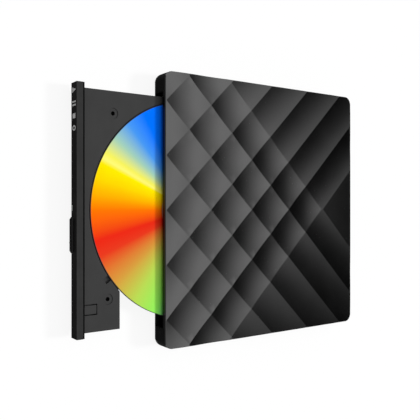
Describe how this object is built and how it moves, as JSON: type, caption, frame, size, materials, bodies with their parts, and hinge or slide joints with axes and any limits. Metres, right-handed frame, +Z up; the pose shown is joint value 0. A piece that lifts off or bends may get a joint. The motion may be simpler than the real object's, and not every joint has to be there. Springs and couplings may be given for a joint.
{
  "type": "external optical disc drive",
  "caption": "Flat external optical disc drive with a scooped diamond lid; the disc tray slides out of the front on telescopic rails and a cable socket sits at the rear.",
  "frame": {"origin": "middle of the footprint on the table, with the tray standing part way out as pictured", "axes": "+X to the right seen from the tray's side, +Y to the rear with the cable socket, +Z up off the lid"},
  "size_m": [0.1502, 0.1958, 0.0151],
  "materials": {
    "lid_plastic": "satin dark grey moulding with a scooped face",
    "case_plastic": "fine textured black moulding",
    "bezel_plastic": "fine textured black moulding",
    "tray_plastic": "dark grey moulding",
    "foot_rubber": "soft grey rubber",
    "damper_rubber": "soft black rubber",
    "pressed_steel": "galvanised sheet",
    "screw_steel": "plated",
    "bright_steel": "ground and polished",
    "guide_plastic": "natural white moulding",
    "board": "solder mask",
    "chip": "moulded package",
    "connector_plastic": "black moulding",
    "ribbon": "amber film",
    "lamp": "clear diffusing moulding",
    "white_plastic": "white moulding",
    "bearing_brass": "sintered",
    "copper_coil": "wound",
    "cast_metal": "die cast",
    "magnet": "bonded magnet",
    "lens_glass": "coated",
    "disc_plastic": "mirrored recording layer under clear plastic"
  },
  "bodies": {
    "enclosure": {"top_cover": "lid_plastic", "bottom_cover": "case_plastic", "case_screws": "screw_steel", "foot_front_left": "foot_rubber", "foot_front_right": "foot_rubber", "foot_rear_left": "foot_rubber", "foot_rear_right": "foot_rubber", "drive_chassis": "pressed_steel", "drive_top_plate": "pressed_steel", "chassis_screws": "screw_steel", "left_guide": "guide_plastic", "right_guide": "guide_plastic", "lock_post": "screw_steel", "dock_board": "board", "drive_plug": "connector_plastic", "bridge_board": "board", "bridge_socket": "connector_plastic", "bridge_chips": "chip", "bridge_screws": "screw_steel", "cable_socket": "screw_steel", "flex_cable": "ribbon"},
    "left_runner": {"left_rail": "pressed_steel"},
    "right_runner": {"right_rail": "pressed_steel"},
    "drawer": {"tray": "tray_plastic", "bezel": "bezel_plastic", "belly_plate": "pressed_steel", "belly_screws": "screw_steel", "lamp_pipe": "lamp", "front_strip": "board", "eject_switch": "white_plastic", "main_board": "board", "main_chips": "chip", "mech_frame": "pressed_steel", "damper_1": "damper_rubber", "damper_2": "damper_rubber", "damper_3": "damper_rubber", "damper_4": "damper_rubber", "left_rod": "bright_steel", "right_rod": "bright_steel", "spindle_base": "bearing_brass", "stator": "copper_coil", "sled_motor": "screw_steel", "lock_solenoid": "copper_coil"},
    "button": {"eject_button": "bezel_plastic"},
    "spindle": {"turntable": "screw_steel", "rotor_magnet": "magnet", "grip_ring": "damper_rubber", "hub": "white_plastic", "disc": "disc_plastic"},
    "pickup": {"sled": "cast_metal", "lens": "lens_glass"},
    "worm": {"lead_screw": "bright_steel"},
    "lock": {"lock_lever": "white_plastic"}
  },
  "joints": [
    {"name": "tray_slide", "type": "slide", "parent": "enclosure", "child": "drawer", "axis": [0, -1, 0], "range_m": [-0.049, 0.075], "deforming": ["flex_cable"]},
    {"name": "left_rail_slide", "type": "slide", "parent": "enclosure", "child": "left_runner", "axis": [0, -1, 0], "range_m": [-0.0245, 0.0375]},
    {"name": "right_rail_slide", "type": "slide", "parent": "enclosure", "child": "right_runner", "axis": [0, -1, 0], "range_m": [-0.0245, 0.0375]},
    {"name": "button_press", "type": "slide", "parent": "drawer", "child": "button", "axis": [0, 1, 0], "range_m": [0, 0.0008], "stiffness_N_per_m": 600},
    {"name": "spindle_spin", "type": "hinge", "parent": "drawer", "child": "spindle", "pos_m": [0, -0.02885, 0.0095], "axis": [0, 0, 1], "continuous": true},
    {"name": "sled_slide", "type": "slide", "parent": "drawer", "child": "pickup", "axis": [0, -1, 0], "range_m": [0, 0.033]},
    {"name": "screw_spin", "type": "hinge", "parent": "drawer", "child": "worm", "pos_m": [-0.0285, -0.05885, 0.0073], "axis": [0, 1, 0], "range_deg": [-10, 3980]},
    {"name": "lock_swing", "type": "hinge", "parent": "drawer", "child": "lock", "pos_m": [0.024, 0.01115, 0.0059], "axis": [0, 0, -1], "range_deg": [0, 12], "stiffness_Nm_per_rad": 0.005}
  ],
  "couplings": [
    {"joint": "left_rail_slide", "follows": "tray_slide", "ratio": 0.5},
    {"joint": "right_rail_slide", "follows": "tray_slide", "ratio": 0.5},
    {"joint": "screw_spin", "follows": "sled_slide", "rad_per_m": 2094.4}
  ]
}
